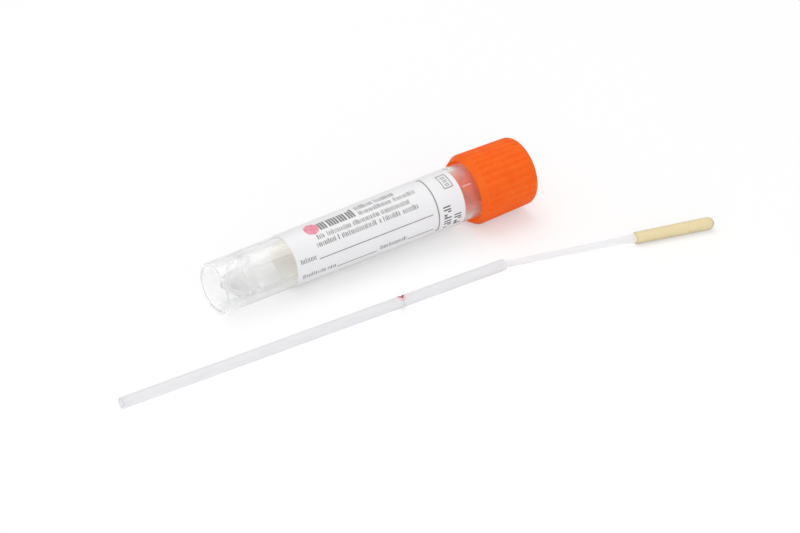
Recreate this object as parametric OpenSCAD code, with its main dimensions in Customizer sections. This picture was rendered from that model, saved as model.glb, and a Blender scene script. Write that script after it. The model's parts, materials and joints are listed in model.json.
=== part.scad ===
// Specimen swab tube: a capped, self-standing transport tube with its medium
// and label, lying beside its flocked swab. Millimetres, +Z up, floor at Z = 0.
// +X runs along the tube from skirt to cap. The origin is the centre of the
// whole set's footprint, on the floor.

/* [Tube] */
// Length from the skirt's rim to the mouth
tube_len = 80; // [70:1:100]
// Outer radius of the straight skirt
skirt_r = 6.03; // [5.5:0.01:7]
// Length of the straight part of the skirt
skirt_straight = 6; // [4:0.5:10]
// Draft of the barrel, outside and inside, in degrees
barrel_draft = 0.55; // [0.1:0.05:0.8]
// Thickness of the barrel wall
wall = 0.95; // [0.7:0.05:1.2]
// Thickness of the skirt wall
skirt_wall = 0.9; // [0.7:0.05:1.2]
// Rounding of the skirt's rim, outside
rim_round = 0.25; // [0.1:0.05:0.4]
// Distance from the rim in to the nose of the bottom
nose_recess = 2.1; // [1:0.1:4]
// Radius of the nose, outside
nose_r = 2.4; // [1.8:0.1:3]
// Height of the conical bottom, outside
cone_len = 5; // [4:0.1:8]
// Thickness of the conical bottom at its widest, along the axis
cone_wall = 2.2; // [1.5:0.1:3]
// Radius of the gate mark on the nose
gate_r = 0.6; // [0.4:0.1:1]
// Height of the gate mark
gate_h = 0.3; // [0.1:0.1:0.6]

/* [Mould line on the neck] */
// Distance from the label to the mould line
seam_gap = 0.8; // [0.3:0.1:1.5]
// Length of the mould line
seam_len = 2.7; // [1.5:0.1:3.5]
// Width of the mould line
seam_w = 0.25; // [0.15:0.05:0.5]
// Height of the mould line
seam_h = 0.12; // [0.05:0.01:0.2]
// Bearing of the mould line round the tube, in degrees
seam_bearing = 46; // [0:1:90]

/* [Thread] */
// Rise of the thread in one turn
pitch = 3; // [2.4:0.1:4]
// Turns of thread on the tube and in the cap
turns = 1.75; // [1:0.25:2]
// Height of the thread's ridge
ridge_h = 0.5; // [0.4:0.01:0.6]
// Width of the ridge at its foot
ridge_foot = 1.3; // [1:0.05:1.5]
// Width of the ridge at its crest
ridge_crest = 0.6; // [0.3:0.05:0.8]
// Clearance between the flanks that bear when the cap is tight
flank_play = 0.15; // [0.1:0.01:0.25]
// Clearance between a ridge's crest and the wall that it faces
crest_play = 0.2; // [0.15:0.01:0.4]
// Distance from the mouth to the end of the tube's thread
thread_drop = 3.7; // [2.5:0.1:5]
// How deep the ridge's foot is sunk in the wall
thread_sink = 0.3; // [0.1:0.05:0.4]

/* [Cap] */
// Length of the cap
cap_len = 16; // [15:0.1:18]
// How far the cap reaches down over the tube
cap_overlap = 12.6; // [12:0.1:13.4]
// Thickness of the cap's wall at its lip
cap_wall = 1.15; // [0.9:0.05:1.5]
// Draft of the cap's outside, in degrees
cap_draft = 1.25; // [0.5:0.05:2]
// Width of the smooth bevelled band at the lip
lip_band = 1.5; // [1:0.1:2]
// Width of the flat left between the bevel and the bore
lip_land = 0.1; // [0.05:0.01:0.3]
// Rounding of the closed end
end_round = 0.9; // [0.5:0.1:1.5]
// Number of grip ribs
rib_count = 30; // [24:1:48]
// Height of the ribs over the grooves between them
rib_h = 0.28; // [0.15:0.01:0.4]
// Share of the circle that the ribs take
rib_share = 0.6; // [0.35:0.01:0.65]
// Depth of the seat that holds the seal
seat_depth = 1.85; // [1.6:0.05:2.5]
// Radial play between the seal and its seat
seat_play = 0.08; // [0.03:0.01:0.2]
// Radius of the entry of the socket that grips the broken stick
socket_mouth_r = 2; // [1.7:0.1:2.4]
// Depth of that socket's tapered entry
socket_entry = 2.5; // [1.5:0.1:3]
// Length of the socket
socket_len = 5.5; // [4:0.1:6.5]
// Thickness of the socket's wall
socket_wall = 0.7; // [0.5:0.05:1]
// Grip of the socket on the stick, on the radius
socket_grip = 0.05; // [0:0.01:0.1]

/* [Seal] */
// Thickness of the seal
seal_t = 1; // [0.6:0.1:1.4]
// Width of the seal beyond the wall's inner edge
seal_inset = 1; // [0.5:0.1:1.5]
// Clearance over and under the seal
seal_play = 0.02; // [0.01:0.01:0.05]
// Clearance between the seat's wall and the mouth
mouth_play = 0.3; // [0.2:0.05:0.4]

/* [Medium] */
// Height of the liquid's level surface over the floor
medium_level = 4.4; // [3.6:0.1:5.5]
// Distance from the mouth to the liquid's end
medium_gap = 0.5; // [0.3:0.1:2]

/* [Label] */
// Distance from the skirt's rim to the label
label_start = 18.1; // [14:0.1:22]
// Width of the label along the tube
label_w = 45.3; // [40:0.1:46]
// Thickness of the label
label_t = 0.1; // [0.05:0.01:0.2]
// Gap between the label's two ends round the tube, in degrees
label_gap = 8; // [2:1:20]
// Bearing of that gap, in degrees
label_gap_bearing = -62; // [-90:1:-40]

/* [Print] */
// Thickness of the printed fields
ink_t = 0.03; // [0.02:0.01:0.05]
// Clearance between the label and the printed fields
ink_lift = 0.01; // [0.01:0.01:0.03]
// Height of the small words
text_h = 1.15; // [0.8:0.05:1.4]
// Height of the title
title_h = 2.8; // [2:0.1:3.2]
// Width of the rules and of the panel's outline
rule_w = 0.2; // [0.1:0.01:0.3]
// Width of the divider
divider_w = 0.3; // [0.2:0.01:0.5]
// Gap where one printed line meets another
line_gap = 0.03; // [0.02:0.01:0.1]
// Width of a mark of the date code
code_w = 0.75; // [0.5:0.05:1]
// Radius of the round mark
mark_r = 1.75; // [1.2:0.05:1.9]

/* [Swab] */
// Length of the handle, from its end to the shoulder
handle_len = 99.1; // [85:0.1:110]
// Radius of the handle at its end
handle_end_r = 1.28; // [1:0.01:1.4]
// Radius of the handle at the shoulder
handle_r = 1.35; // [1.1:0.01:1.5]
// Distance from the tip's end to the break point
break_len = 80; // [70:1:90]
// Depth of the groove at the break point
break_depth = 0.35; // [0.2:0.01:0.5]
// Width of the groove at the break point
break_w = 0.8; // [0.5:0.05:1.2]
// Radius of the dimple in the handle's end
dimple_r = 0.75; // [0.4:0.05:0.9]
// Depth of the dimple in the handle's end
dimple_depth = 0.7; // [0.3:0.1:1.5]
// Length of the thin shaft, from the shoulder to the flock
shaft_len = 32.2; // [25:0.1:40]
// Radius of the thin shaft at the shoulder
shaft_r = 0.76; // [0.6:0.01:0.9]
// Radius of the thin shaft where its flare begins
shaft_end_r = 0.9; // [0.7:0.01:1]
// How far the shaft reaches into the handle
shaft_root = 1; // [0.5:0.1:2]
// Length of the flare before the flock
flare_len = 2.5; // [1:0.1:4]
// Radius of the flare at the flock
flare_r = 1.06; // [0.95:0.01:1.2]
// Radius of the shaft inside the flock
core_r = 0.95; // [0.7:0.01:1]
// Length of the flocked tip
tip_len = 20.2; // [15:0.1:25]
// Radius of the flocked tip at the shaft
tip_start_r = 1.5; // [1.25:0.01:1.6]
// Radius of the flocked tip at its widest
tip_r = 1.6; // [1.4:0.01:1.8]
// Thickness of the flock over the shaft's end
tip_cover = 1.2; // [0.8:0.1:2]
// Rounding of the edges of the handle and the flock
edge_round = 0.15; // [0.05:0.01:0.3]

/* [Swab's place] */
// How far the handle's end lies behind the skirt's rim
swab_back = 36; // [20:1:60]
// Distance from the tube's axis to the handle's end
swab_aside = 20.95; // [16:0.05:30]
// Heading of the handle from the tube's axis, in degrees
handle_heading = -0.64; // [-3:0.01:1]
// Bend at the shoulder, in degrees
shoulder_bend = -13.5; // [-16:0.1:0]
// Clearance under the handle at the shoulder
shoulder_lift = 0.05; // [0:0.01:0.2]

/* [Hidden] */
$fn = 96;
eps = 0.01;
reach = 400;

// Outside and inside radius of the barrel at a height above the rim
function barrel_r(s) = skirt_r + max(0, s - skirt_straight) * tan(barrel_draft);
function bore_r(s) = barrel_r(s) - wall;

mouth_r = barrel_r(tube_len);
skirt_bore_r = skirt_r - skirt_wall;
cone_top = nose_recess + cone_len;
cavity_top = cone_top + cone_wall;
cavity_nose_r = nose_r - wall;
cavity_nose = nose_recess + nose_r;
label_end = label_start + label_w;

// Cap: heights are measured from the skirt's rim, along the tube's axis
lip = tube_len - cap_overlap;
band_end = lip + lip_band;
cap_end = lip + cap_len;
cap_bore_r = barrel_r(tube_len - thread_drop) + ridge_h + crest_play;
lip_r = cap_bore_r + cap_wall;
cap_ceiling = tube_len + seal_t + 2 * seal_play;
seat_r = mouth_r + mouth_play;
seal_r = seat_r - seat_play;
seal_bore_r = mouth_r - wall - seal_inset;
socket_r = handle_r - socket_grip;
function cap_r(s) = lip_r - (s - lip) * tan(cap_draft);
widest_r = cap_r(band_end);

// Thread: the cap's ridge bears on the underside of the tube's ridge
flank_slope = (ridge_foot - ridge_crest) / 2 / ridge_h;
ridge_step = ridge_foot - (cap_bore_r - mouth_r) * flank_slope + flank_play;
thread_start = tube_len - thread_drop - turns * pitch;
thread_steps = 36;
thread_fade = 5;

// Lay of the tube: the ribs' start and the skirt's rim touch the floor
tilt = atan((widest_r - skirt_r) / (band_end - rim_round));
rim_z = skirt_r * cos(tilt) - rim_round * sin(tilt);

// Lay of the swab: handle end, shoulder and tip
handle_start = [-swab_back, -swab_aside, handle_end_r];
shoulder_z = handle_r + shoulder_lift;
handle_climb = asin((shoulder_z - handle_end_r) / handle_len);
shaft_heading = handle_heading + shoulder_bend;
shaft_climb = asin((tip_r - shoulder_z) / (shaft_len + tip_len - tip_r));
function heading_vector(heading, climb) =
    [cos(climb) * cos(heading), cos(climb) * sin(heading), sin(climb)];
shoulder = handle_start + handle_len * heading_vector(handle_heading, handle_climb);
tip_centre = shoulder
    + (shaft_len + tip_len - tip_r) * heading_vector(shaft_heading, shaft_climb);
break_at = handle_len + shaft_len + tip_len - break_len;

// Print on the label. Places along it are in hundredths of its width, and
// places round it are bearings.
word_gap = 1.3;
// Rows of words: bearing, first column, height of the letters, word widths
word_rows = [
    [84, 20, title_h, [21]],
    [90.5, 43, text_h, [10.5, 11.5]],
    [75, 43, text_h, [19.5, 13]],
    [58.5, 16, text_h, [4.5, 14, 15.5, 17.5]],
    [43.5, 14, text_h, [11, 1, 21, 1, 10.5, 9.5]],
    [22, 2.5, text_h, [9.5]],
    [-13.5, 3, text_h, [13, 5]],
    [-13.5, 48.5, text_h, [16]]
];
// Rules to write on: bearing, first and last column
rules = [[15, 13, 80.5], [-19.5, 23, 46.5], [-19.5, 65, 80.5]];
// Divider: column, the columns that its hooked ends take, and its two ends
divider = 84;
divider_hook = 2.2;
divider_ends = [-28, 102];
// Boxed panel: its columns and bearings
panel = [91.8, 96.9];
panel_sides = [55, 89];
// Date code: columns, first bearing and number of marks in each row
code_rows = [[87, 91.4, 17, 5], [93.2, 97.4, -6, 3]];
code_step = 10.5;
// Round mark: column and bearing
mark_at = 16;
mark_bearing = 83;
// Bearings between which the break point is inked
break_ink = [50, 150];

// Centre of the footprint, which becomes the origin
middle_x = (handle_start[0] + tip_centre[0] + tip_r) / 2;
middle_y = (tip_centre[1] - tip_r + widest_r) / 2;

// Points of a round stretch in a profile
function arc(x, y, r, from, to, n = 8) =
    [for (i = [0 : n]) let (a = from + (to - from) * i / n) [x + r * cos(a), y + r * sin(a)]];

// Sweep of a nose of radius r at which a line to a point out by x and up by y leaves it
function nose_sweep(x, y, r) = atan2(y, x) + asin(r / norm([x, y]));

// Stands the tube's own frame, axis up from the rim, on its side on the floor
module lay_tube()
    translate([-middle_x, -middle_y, rim_z]) rotate([0, 90 - tilt, 0]) children();

// Turns to a bearing round the laid tube: 0 faces the swab, 90 faces up
module at_bearing(bearing) rotate([0, 0, 270 - bearing]) children();

// Lays a piece that is drawn along +Z from a point, at a heading and a climb
module lay_swab(start, heading, climb)
    translate(start - [middle_x, middle_y, 0]) rotate([0, 90 - climb, heading]) children();

// One helical ridge; its foot is sunk in the wall and its ends run out into the wall
module helix_ridge(foot_r, crest_r, start) {
    side = sign(crest_r - foot_r);
    steps = round(turns * thread_steps);
    function ring(i) =
        let (a = 360 * i / thread_steps,
            z = start + pitch * a / 360,
            k = min(1, i / thread_fade, (steps - i) / thread_fade),
            sunk_r = foot_r - side * thread_sink,
            foot = ridge_foot / 2 + thread_sink * flank_slope,
            top_r = foot_r + side * (ridge_h * k - (1 - k) * thread_sink / 2),
            top = foot - abs(top_r - sunk_r) * flank_slope)
        [for (p = [[sunk_r, -foot], [top_r, -top], [top_r, top], [sunk_r, foot]])
            [p[0] * cos(a), p[0] * sin(a), z + p[1]]];
    points = [for (i = [0 : steps]) each ring(i)];
    sides = [for (i = [0 : steps - 1], j = [0 : 3])
        let (a = 4 * i + j, b = 4 * i + (j + 1) % 4)
        side > 0 ? [a, b, b + 4, a + 4] : [a + 4, b + 4, b, a]];
    last = 4 * steps;
    ends = side > 0
        ? [[3, 2, 1, 0], [last, last + 1, last + 2, last + 3]]
        : [[0, 1, 2, 3], [last + 3, last + 2, last + 1, last]];
    polyhedron(points, concat(sides, ends), convexity = 6);
}

// Half section of the space inside the tube, up to a height
function cavity_section(top) =
    let (sweep = nose_sweep(bore_r(cavity_top), cavity_top - cavity_nose, cavity_nose_r))
    concat(arc(0, cavity_nose, cavity_nose_r, -90, sweep - 90),
        [[bore_r(cavity_top), cavity_top], [bore_r(top), top], [0, top]]);

// Half section of the tube's outside, with the recess under its nose
function shell_section() =
    let (sweep = nose_sweep(skirt_bore_r, cone_top - cavity_nose, nose_r))
    concat(arc(0, cavity_nose, nose_r, -90, sweep - 90),
        [[skirt_bore_r, cone_top], [skirt_bore_r, 0], [skirt_r - rim_round, 0]],
        arc(skirt_r - rim_round, rim_round, rim_round, -90, 0, 5),
        [[skirt_r, skirt_straight], [mouth_r, tube_len], [0, tube_len]]);

module seam() {
    foot_r = bore_r(label_end) + wall / 2;
    crest_r = barrel_r(label_end) + seam_h;
    at_bearing(seam_bearing) translate([foot_r, -seam_w / 2, label_end + seam_gap])
        cube([crest_r - foot_r, seam_w, seam_len]);
}

module tube() color([0.88, 0.9, 0.92, 0.45]) lay_tube() difference() {
    union() {
        rotate_extrude() polygon(shell_section());
        translate([0, 0, nose_recess - gate_h]) cylinder(r = gate_r, h = gate_h + wall / 2);
        helix_ridge(barrel_r(thread_start), barrel_r(thread_start) + ridge_h, thread_start);
        seam();
    }
    rotate_extrude() polygon(cavity_section(tube_len + eps));
}

module transport_medium() color([0.85, 0.88, 0.9, 0.5]) intersection() {
    lay_tube() rotate_extrude() polygon(cavity_section(tube_len - medium_gap));
    translate([-reach / 2, -reach / 2, 0]) cube([reach, reach, medium_level]);
}

// A field wrapped on the barrel: heights from and to, bearings low and high,
// standing off the barrel and thickness
module wrapped(from, to, low, high, off, t)
    at_bearing(high) rotate_extrude(angle = high - low) polygon([
        [barrel_r(from) + off, from], [barrel_r(from) + off + t, from],
        [barrel_r(to) + off + t, to], [barrel_r(to) + off, to]]);

// An inked field wrapped on the label
module inked(from, to, low, high) wrapped(from, to, low, high, label_t + ink_lift, ink_t);

module label() color([0.95, 0.95, 0.97]) lay_tube()
    wrapped(label_start, label_end, label_gap_bearing + label_gap / 2,
        label_gap_bearing - label_gap / 2 + 360, 0, label_t);

// Height above the rim of a column of the label's print
function column(n) = label_start + n * label_w / 100;

// Angle that half of a width takes round the label
function half_angle(width) = width / 2 / (skirt_r + label_t) * 180 / PI;

// An inked field between two heights, of a width round the label about a bearing
module ink(from, to, bearing, width)
    inked(from, to, bearing - half_angle(width), bearing + half_angle(width));

// An inked field between two columns, short of each by a margin
module ink_columns(first, last, bearing, width, margin = 0)
    ink(column(first) + margin, column(last) - margin, bearing, width);

// An inked line round the label, centred on a column, between two bearings
module ink_round(at, ends, width)
    inked(column(at) - width / 2, column(at) + width / 2,
        ends[0] - half_angle(width), ends[1] + half_angle(width));

module ruled_lines() color([0.45, 0.45, 0.47]) lay_tube() {
    for (rule = rules) ink_columns(rule[1], rule[2], rule[0], rule_w);
    ink_round(divider, divider_ends, divider_w);
    for (bearing = divider_ends)
        ink_columns(divider - divider_hook, divider, bearing, divider_w, divider_w / 2 + line_gap);
    for (at = panel) ink_round(at, panel_sides, rule_w);
    for (bearing = panel_sides)
        ink_columns(panel[0], panel[1], bearing, rule_w, rule_w / 2 + line_gap);
}

// Column at which word number i of a row begins
function word_start(row, i) =
    i == 0 ? row[1] : word_start(row, i - 1) + row[3][i - 1] + word_gap;

module text_bars() color([0.5, 0.5, 0.52]) lay_tube()
    for (row = word_rows, i = [0 : len(row[3]) - 1])
        let (start = word_start(row, i))
        ink_columns(start, start + row[3][i], row[0], row[2]);

module date_code() color([0.15, 0.14, 0.2]) lay_tube()
    for (row = code_rows, i = [0 : row[3] - 1])
        ink_columns(row[0], row[1], row[2] - i * code_step, code_w);

module round_mark() color([0.9, 0.4, 0.5]) lay_tube() intersection() {
    ink(column(mark_at) - mark_r, column(mark_at) + mark_r, mark_bearing, 3 * mark_r);
    translate([0, 0, column(mark_at)]) at_bearing(mark_bearing) rotate([0, 90, 0])
        cylinder(r = mark_r, h = 2 * skirt_r);
}

// Half section of the cap: outside, closed end, socket, seat and bore
function cap_section() =
    let (floor_end_r = cap_r(cap_end - end_round) - rib_h,
        socket_end = cap_ceiling - socket_len)
    concat([[cap_bore_r, lip], [cap_bore_r + lip_land, lip],
        [widest_r, band_end], [widest_r - rib_h, band_end + rib_h]],
        arc(floor_end_r - end_round, cap_end - end_round, end_round, 0, 90),
        [[0, cap_end], [0, cap_ceiling], [socket_r, cap_ceiling],
        [socket_r, socket_end + socket_entry], [socket_mouth_r, socket_end],
        [socket_mouth_r + socket_wall, socket_end], [socket_mouth_r + socket_wall, cap_ceiling],
        [seat_r, cap_ceiling], [seat_r, cap_ceiling - seat_depth],
        [cap_bore_r, cap_ceiling - seat_depth]]);

// Half section of one grip rib, with its foot sunk in the wall
function rib_section() =
    let (crest_end = cap_end - end_round,
        round_r = cap_r(crest_end) - rib_h - end_round, sunk = cap_wall / 4)
    concat([[widest_r - rib_h - sunk, band_end], [widest_r, band_end]],
        [for (a = [0 : 12 : 72])
            [round_r + (end_round + rib_h) * cos(a), crest_end + end_round * sin(a)]],
        [[round_r, crest_end + end_round * sin(72)], [round_r, crest_end]]);

module screw_cap() color([1, 0.4, 0.1]) lay_tube() {
    rotate_extrude() polygon(cap_section());
    for (i = [0 : rib_count - 1]) rotate([0, 0, 360 * (i - rib_share / 2) / rib_count])
        rotate_extrude(angle = 360 / rib_count * rib_share) polygon(rib_section());
    helix_ridge(cap_bore_r, cap_bore_r - ridge_h, thread_start - ridge_step);
}

module cap_seal() color([0.93, 0.93, 0.9]) lay_tube()
    translate([0, 0, tube_len + seal_play]) difference() {
        cylinder(r = seal_r, h = seal_t);
        translate([0, 0, -eps]) cylinder(r = seal_bore_r, h = seal_t + 2 * eps);
    }

function handle_radius(z) = handle_end_r + (handle_r - handle_end_r) * z / handle_len;

// Half section of the handle, from its dimpled end to the shoulder
function handle_section() =
    let (low = break_at - break_w / 2, high = break_at + break_w / 2, top = handle_len - edge_round)
    concat([[0, dimple_depth], [dimple_r * 0.7, dimple_depth], [dimple_r, 0]],
        arc(handle_end_r - edge_round, edge_round, edge_round, -90, 0, 4),
        [[handle_radius(low), low], [handle_radius(break_at) - break_depth, break_at],
        [handle_radius(high), high]],
        arc(handle_radius(top) - edge_round, top, edge_round, 0, 90, 4),
        [[0, handle_len]]);

// End of the shaft inside the flock, shared by the shaft and the flock
function core_end() =
    let (end = shaft_len + tip_len - tip_cover)
    concat([[core_r, shaft_len]], arc(0, end - core_r, core_r, 0, 90));

module swab_stick() color([0.9, 0.92, 0.94, 0.8]) {
    lay_swab(handle_start, handle_heading, handle_climb)
        rotate_extrude() polygon(handle_section());
    lay_swab(shoulder, shaft_heading, shaft_climb) rotate_extrude() polygon(concat(
        [[0, -shaft_root], [shaft_r, -shaft_root], [shaft_r, 0],
        [shaft_end_r, shaft_len - flare_len], [flare_r, shaft_len]], core_end()));
}

// Surface of the stick across its groove, raised by t
function groove_line(t) =
    [for (z = [-break_w, -break_w / 2, 0, break_w / 2, break_w])
        [handle_radius(break_at + z) + t - (z == 0 ? break_depth : 0), break_at + z]];

module break_mark() color([0.75, 0.1, 0.25])
    lay_swab(handle_start, handle_heading, handle_climb)
        at_bearing(break_ink[1]) rotate_extrude(angle = break_ink[1] - break_ink[0])
            polygon(concat(groove_line(0), [for (i = [4 : -1 : 0]) groove_line(ink_t)[i]]));

module flocked_tip() color([0.93, 0.85, 0.55])
    lay_swab(shoulder, shaft_heading, shaft_climb) rotate_extrude() polygon(concat(
        [[tip_start_r - edge_round, shaft_len], [tip_start_r, shaft_len + edge_round]],
        arc(0, shaft_len + tip_len - tip_r, tip_r, 0, 90, 12),
        [for (i = [len(core_end()) - 1 : -1 : 0]) core_end()[i]]));

tube();
transport_medium();
label();
ruled_lines();
text_bars();
round_mark();
date_code();
screw_cap();
cap_seal();
swab_stick();
break_mark();
flocked_tip();
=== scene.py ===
# %% [markdown]
# # A specimen swab tube with its flocked swab
# The set is a clear transport tube with an orange screw cap, a wrapped label and a
# little liquid, lying on its side, and a swab that lies in front of it. The packed
# model fixes where every piece is. This lesson makes the pieces again as smooth
# meshes, gives each its finish, and sets up a plain white studio.
#
# The frame could be read from the model's boxes alone, but a tilted tube needs an
# axis. The cap's turning joint states that axis exactly, so everything hangs on it.

# %% Load the fixed frame
import json
import math
import random

import bpy
from mathutils import Matrix, Vector


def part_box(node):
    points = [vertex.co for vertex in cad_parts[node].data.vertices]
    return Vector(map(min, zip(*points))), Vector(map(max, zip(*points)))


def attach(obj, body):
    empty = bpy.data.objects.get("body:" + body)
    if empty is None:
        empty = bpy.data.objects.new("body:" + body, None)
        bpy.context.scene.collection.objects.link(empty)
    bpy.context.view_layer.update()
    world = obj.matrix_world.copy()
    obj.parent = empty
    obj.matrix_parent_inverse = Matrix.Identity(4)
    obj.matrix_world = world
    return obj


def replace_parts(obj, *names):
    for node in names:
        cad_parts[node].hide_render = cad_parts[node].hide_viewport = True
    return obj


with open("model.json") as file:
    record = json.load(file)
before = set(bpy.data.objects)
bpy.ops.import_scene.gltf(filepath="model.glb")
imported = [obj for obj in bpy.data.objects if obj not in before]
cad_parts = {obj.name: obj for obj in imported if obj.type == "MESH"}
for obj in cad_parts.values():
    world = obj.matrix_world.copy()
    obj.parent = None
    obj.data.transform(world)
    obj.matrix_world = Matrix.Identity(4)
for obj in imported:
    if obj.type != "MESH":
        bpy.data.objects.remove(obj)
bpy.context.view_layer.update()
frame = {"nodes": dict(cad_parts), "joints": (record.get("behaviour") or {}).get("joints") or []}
joints = {joint["name"]: joint for joint in frame["joints"]}
axis = Vector(joints["cap_turn"]["axis"]).normalized()
print("tube leans by", round(math.degrees(math.asin(axis.z)), 3), "degrees")

# %% [markdown]
# ## Sizes of the tube
# A moulded tube is a body of revolution, so its sizes are radii and heights. All
# are in millimetres, and a height is measured from the rim of the skirt along the
# axis. The barrel widens a little towards the mouth, which is the draft that lets
# it slip off its core in the mould.

# %% Sizes of the tube
MM = 0.001
TUBE_LEN, SKIRT_R, SKIRT_STRAIGHT, DRAFT = 80.0, 6.03, 6.0, math.radians(0.55)
WALL, SKIRT_WALL, RIM_ROUND = 0.95, 0.9, 0.25
NOSE_RECESS, NOSE_R, CONE_TOP, CONE_WALL = 2.1, 2.4, 7.1, 2.2
LABEL_START, LABEL_W, LABEL_T, PRINT_LIFT, PRINT_T = 18.1, 45.3, 0.1, 0.01, 0.03
LABEL_END = LABEL_START + LABEL_W
JOINT_HEIGHT = 75.0


def barrel_r(height):
    """Outer radius of the tube at a height above the skirt's rim."""
    return SKIRT_R + max(0.0, height - SKIRT_STRAIGHT) * math.tan(DRAFT)


def bore_r(height):
    return barrel_r(height) - WALL


MOUTH_R = barrel_r(TUBE_LEN)
print("mouth radius", round(MOUTH_R, 3))

# %% [markdown]
# ## A frame for each piece
# A turned piece is easiest to draw standing up, on its own Z axis. One matrix then
# lays it down where the model has it, and turns millimetres into metres on the way.
# The other choice is to move the object, but then its texture would need the
# object's own scale, so the place goes into the mesh.

# %% Frame of the tube
rim_centre = Vector(joints["cap_turn"]["pos_m"]) - axis * (JOINT_HEIGHT * MM)
side = Vector((0.0, 1.0, 0.0))
down = side.cross(axis).normalized()
to_metres = Matrix.Scale(MM, 4)
lay_tube = Matrix.Translation(rim_centre) @ Matrix((down, side, axis)).transposed().to_4x4() @ to_metres


def around_tube(bearing):
    """Angle about the tube's axis of a bearing: 0 faces the swab, 90 faces up."""
    return math.radians(270.0 - bearing)


print("rim centre", [round(c * 1000, 3) for c in rim_centre])

# %% [markdown]
# ## Roundings that hold their light
# Moulded edges are never sharp: a small radius catches a line of light. An outline
# is therefore a list of corners, each with its radius, and every radius becomes a
# short arc. With smooth shading a long flat next to an arc would be shaded as if it
# bulged. A bevel with hardened normals cures that on a mesh, and on an outline the
# cure is a holding row: one extra point close to each end of a flat.

# %% Outline with rounded corners
def rounded(corners, hold=0.06):
    """Points of an outline from (radius, height, rounding) corners."""
    points = []
    for i, (r, s, rounding) in enumerate(corners):
        here = Vector((r, s))
        if rounding <= 0 or i in (0, len(corners) - 1):
            points.append(here)
            continue
        back = Vector(corners[i - 1][:2]) - here
        ahead = Vector(corners[i + 1][:2]) - here
        turn = math.pi - back.angle(ahead)
        reach = min(rounding * math.tan(turn / 2), 0.48 * back.length, 0.48 * ahead.length)
        radius = reach / math.tan(turn / 2)
        start, end = here + back.normalized() * reach, here + ahead.normalized() * reach
        centre = here + (back.normalized() + ahead.normalized()).normalized() * math.hypot(radius, reach)
        steps = max(3, round(math.degrees(turn) / 13))
        first, last = start - centre, end - centre
        for k in range(steps + 1):
            share = k / steps
            spoke = first * math.sin((1 - share) * turn) + last * math.sin(share * turn)
            points.append(centre + spoke / math.sin(turn))
    held = [points[0]]
    for a, b in zip(points, points[1:]):
        gap = (b - a).length
        if gap < 1e-5:
            continue
        if gap > 6 * hold:
            held += [a + (b - a) * (hold / gap), b - (b - a) * (hold / gap)]
        held.append(b)
    return [tuple(p) for p in held]


print("a square corner becomes", len(rounded([(0, 0, 0), (5, 0, 1), (5, 5, 0)])), "points")

# %% [markdown]
# ## Turning an outline
# Blender's Screw modifier turns an outline too, but a thread and grip ribs need
# each point moved by its own amount. So the outline is turned in code, and a relief
# function says how far each point stands out. Rows that carry relief lie close
# together, and the plain ones lie far apart.

# %% Rows and turning
def refined(outline, low, high, step, where=lambda r: True):
    """Adds rows between two heights, on the stretches whose radius passes a test."""
    rows = [outline[0]]
    for (r0, s0), (r1, s1) in zip(outline, outline[1:]):
        if where(min(r0, r1)) and abs(s1 - s0) > step:
            first, last = (min(max(s, low), high) for s in (s0, s1))
            count = math.ceil(abs(last - first) / step)
            for s in [first + (last - first) * k / count for k in range(count + 1)] if count else []:
                if min(abs(s - s0), abs(s - s1)) > 1e-4:
                    rows.append((r0 + (r1 - r0) * (s - s0) / (s1 - s0), s))
        rows.append((r1, s1))
    return rows


def shaded_object(name, verts, faces, place):
    """A smooth mesh object with its place in its mesh and its normals outward."""
    mesh = bpy.data.meshes.new(name)
    mesh.from_pydata([place @ Vector(v) for v in verts], [], faces)
    mesh.validate()
    mesh.polygons.foreach_set("use_smooth", [True] * len(mesh.polygons))
    piece = bpy.data.objects.new(name, mesh)
    bpy.context.scene.collection.objects.link(piece)
    return piece


def skinned(rings, around, turn_over=False):
    """Faces between neighbouring rings of points; a ring of one point closes an end."""
    faces = []
    for low, high in zip(rings, rings[1:]):
        for k in range(around):
            k2 = (k + 1) % around
            corners = [low[k % len(low)], low[k2 % len(low)], high[k2 % len(high)], high[k % len(high)]]
            if turn_over:
                corners = corners[:1] + corners[:0:-1]
            corners = list(dict.fromkeys(corners))
            if len(corners) > 2:
                faces.append(corners)
    return faces


def turned(name, outline, place, around=192, relief=None, loop=False):
    """Turns an outline round Z. It runs counterclockwise seen with the axis on its left."""
    verts, rings = [], []
    for r, s in outline:
        ring = []
        for k in range(1 if r < 1e-6 else around):
            angle = math.tau * k / around
            reach = r + (relief(angle, r, s) if relief and r > 0 else 0.0)
            ring.append(len(verts))
            verts.append((reach * math.cos(angle), reach * math.sin(angle), s))
        rings.append(ring)
    faces = skinned(rings + rings[:1] if loop else rings, around)
    return shaded_object(name, verts, faces, place)


# %% [markdown]
# ## The thread
# The tube and the cap carry the same ridge, one outside and one inside, which
# climbs 3 mm in each turn. Its section is a rounded trapezium, and its ends fade
# into the wall as a worn cutter leaves them. It could be swept along a helix as a
# separate solid, but as relief on the wall it has no seam that light could find.

# %% Relief of a thread
PITCH, TURNS, RIDGE_H, RIDGE_FOOT, RIDGE_CREST, RIDGE_FADE = 3.0, 1.75, 0.5, 1.3, 0.6, 5 / 36
CREST_PLAY, FLANK_PLAY, THREAD_DROP = 0.2, 0.15, 3.7
THREAD_START = TUBE_LEN - THREAD_DROP - TURNS * PITCH


def eased(x):
    """0 below 0 and 1 above 1, with a soft start and end."""
    x = min(1.0, max(0.0, x))
    return x * x * (3 - 2 * x)


def ridge(angle, height, start):
    """Share of the ridge's height at an angle and a height, for a thread from start."""
    most = 0.0
    for lap in range(2):
        turn = angle / math.tau + lap
        if turn < TURNS:
            across = abs(height - start - PITCH * turn)
            flank = (RIDGE_FOOT / 2 - across) / ((RIDGE_FOOT - RIDGE_CREST) / 2)
            most = max(most, eased(flank) * eased(min(turn, TURNS - turn) / RIDGE_FADE))
    return most


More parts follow.
